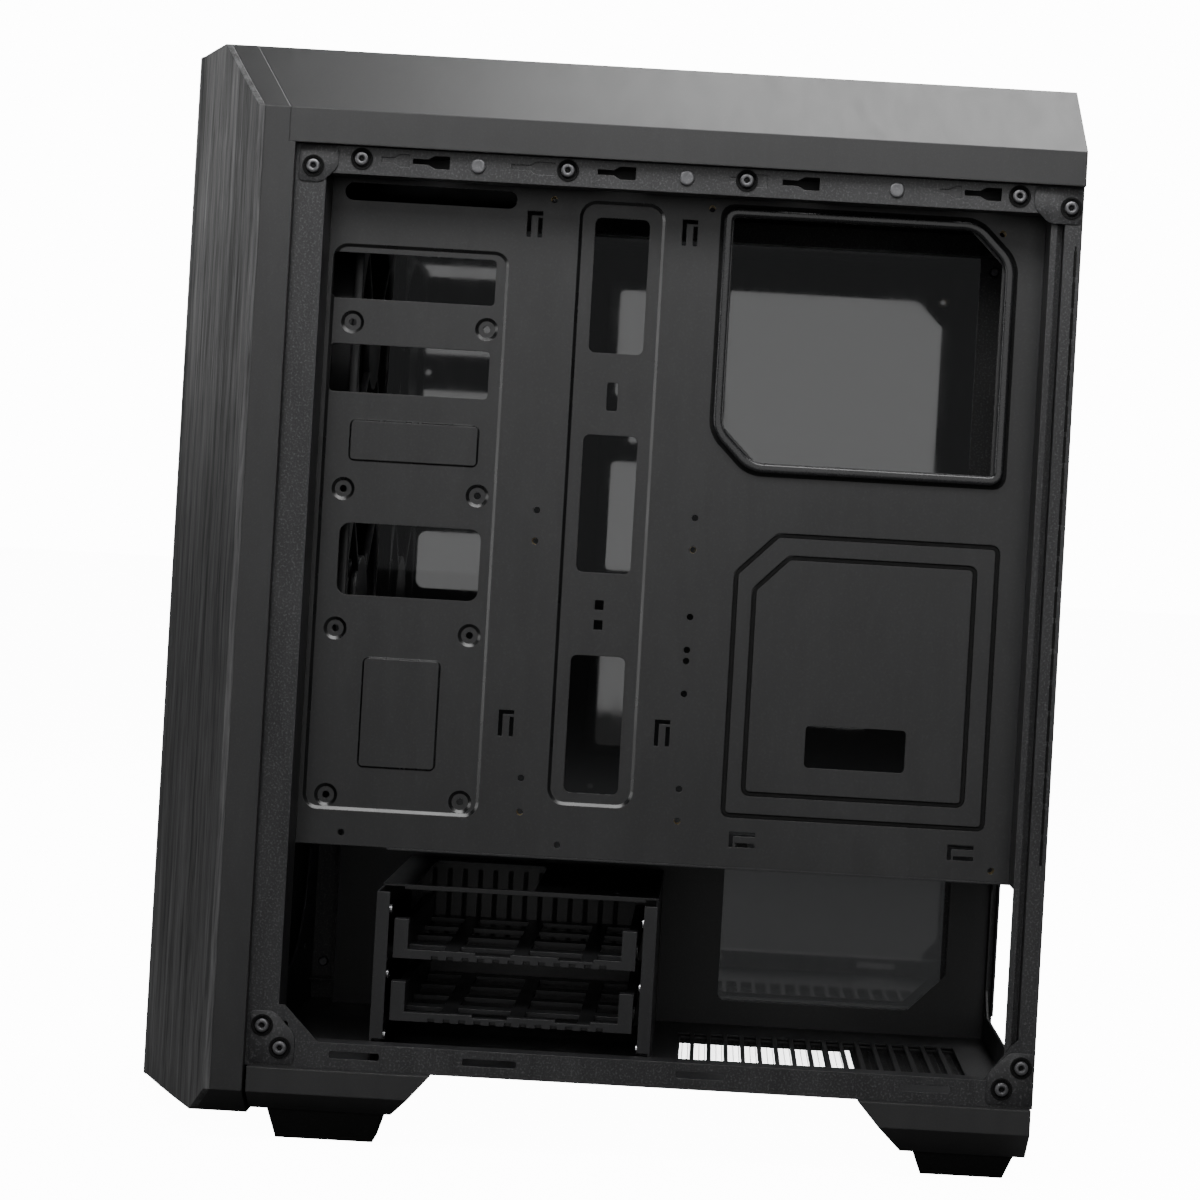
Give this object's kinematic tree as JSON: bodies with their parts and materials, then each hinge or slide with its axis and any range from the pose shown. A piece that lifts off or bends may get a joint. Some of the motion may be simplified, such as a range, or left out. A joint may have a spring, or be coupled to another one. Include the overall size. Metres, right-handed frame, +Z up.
{
  "type": "desktop computer tower",
  "caption": "Mid-tower computer case with one side open, smoked glass on the other, keeled brushed front, sloped top, drive sleds, fans and dust filters.",
  "frame": {"origin": "on the floor, under the middle of the case's bounding box", "axes": "+Z up; -Y out of the front bezel, +Y out of the rear wall; +X out of the open side, -X out of the glass side"},
  "size_m": [0.206, 0.42, 0.503],
  "materials": {
    "chassis": "fine textured powder coat, black",
    "inner_sheet": "satin black powder coat",
    "tray_sheet": "satin black powder coat",
    "cage_sheet": "satin black powder coat",
    "edge_trim": "semi-gloss rolled edge",
    "brass_standoff": "turned brass",
    "bright_screw": "nickel plated",
    "black_screw": "black zinc plated",
    "trim_plastic": "satin fine-grained black plastic",
    "brushed_fascia": "vertically brushed charcoal skin",
    "filter_screen": "fine nylon screen in a plastic frame",
    "rubber_black": "soft black rubber",
    "bush_rubber": "soft black rubber",
    "gloss_panel": "polished black plastic",
    "circuit_board": "green solder mask",
    "socket_metal": "stamped steel shell",
    "tongue_plastic": "black moulded plastic",
    "light_pipe": "clear light pipe",
    "smoked_glass": "smoked toughened glass",
    "sled_plastic": "fine-grained black plastic",
    "fan_plastic": "black moulded plastic"
  },
  "bodies": {
    "case": {"audio_jacks": "tongue_plastic", "board_standoffs": "brass_standoff", "bottom_pan": "chassis", "cpu_cutout_trim": "edge_trim", "drive_cage_back": "cage_sheet", "drive_cage_front_wall": "cage_sheet", "drive_cage_rear_wall": "cage_sheet", "drive_cage_screws": "bright_screw", "drive_cage_top": "cage_sheet", "fan_frame_lower": "fan_plastic", "fan_frame_upper": "fan_plastic", "fan_screws": "bright_screw", "filter_guides": "trim_plastic", "foot_pads": "rubber_black", "front_bezel": "trim_plastic", "front_fascia": "brushed_fascia", "front_foot_skirt": "trim_plastic", "front_panel": "inner_sheet", "io_board": "circuit_board", "io_leds": "light_pipe", "io_panel": "gloss_panel", "left_bottom_rail": "chassis", "left_front_post": "chassis", "left_rear_post": "chassis", "left_top_rail": "chassis", "motherboard_tray": "tray_sheet", "psu_shroud_side": "inner_sheet", "psu_shroud_top": "inner_sheet", "rail_fasteners": "black_screw", "rear_foot_skirt": "trim_plastic", "rear_panel": "inner_sheet", "right_bottom_rail": "chassis", "right_front_post": "chassis", "right_rear_post": "chassis", "right_top_rail": "chassis", "slot_cover_1": "inner_sheet", "slot_cover_2": "inner_sheet", "slot_cover_3": "inner_sheet", "slot_cover_4": "inner_sheet", "slot_cover_5": "inner_sheet", "slot_cover_6": "inner_sheet", "slot_cover_7": "inner_sheet", "slot_screws": "bright_screw", "top_cover": "trim_plastic", "top_panel": "inner_sheet", "usb_ports": "socket_metal", "usb_tongues": "tongue_plastic"},
    "glass": {"glass_panel": "smoked_glass", "glass_bushings": "rubber_black", "glass_thumbscrews": "black_screw"},
    "roof_filter": {"top_filter": "filter_screen"},
    "floor_filter": {"psu_filter": "filter_screen"},
    "lower_sled": {"drive_sled_lower": "sled_plastic", "sled_bushes_lower": "bush_rubber"},
    "upper_sled": {"drive_sled_upper": "sled_plastic", "sled_bushes_upper": "bush_rubber"},
    "power_button": {"power_button": "gloss_panel"},
    "reset_button": {"reset_button": "gloss_panel"},
    "upper_rotor": {"fan_rotor_upper": "fan_plastic"},
    "lower_rotor": {"fan_rotor_lower": "fan_plastic"}
  },
  "joints": [
    {"name": "glass_lift_off", "type": "slide", "parent": "case", "child": "glass", "axis": [-1, 0, 0], "range_m": [0, 0.06]},
    {"name": "top_filter_lift", "type": "slide", "parent": "case", "child": "roof_filter", "axis": [0, 0, 1], "range_m": [0, 0.04]},
    {"name": "psu_filter_slide", "type": "slide", "parent": "case", "child": "floor_filter", "axis": [0, 1, 0], "range_m": [0, 0.165]},
    {"name": "lower_sled_slide", "type": "slide", "parent": "case", "child": "lower_sled", "axis": [1, 0, 0], "range_m": [0, 0.15]},
    {"name": "upper_sled_slide", "type": "slide", "parent": "case", "child": "upper_sled", "axis": [1, 0, 0], "range_m": [0, 0.15]},
    {"name": "power_press", "type": "slide", "parent": "case", "child": "power_button", "axis": [0, 0, -1], "range_m": [0, 0.0015], "stiffness_N_per_m": 500},
    {"name": "reset_press", "type": "slide", "parent": "case", "child": "reset_button", "axis": [0, 0, -1], "range_m": [0, 0.0015], "stiffness_N_per_m": 400},
    {"name": "upper_fan_spin", "type": "hinge", "parent": "case", "child": "upper_rotor", "pos_m": [-0.01, -0.132, 0.37], "axis": [0, 1, 0], "continuous": true},
    {"name": "lower_fan_spin", "type": "hinge", "parent": "case", "child": "lower_rotor", "pos_m": [-0.01, -0.132, 0.245], "axis": [0, 1, 0], "continuous": true}
  ]
}
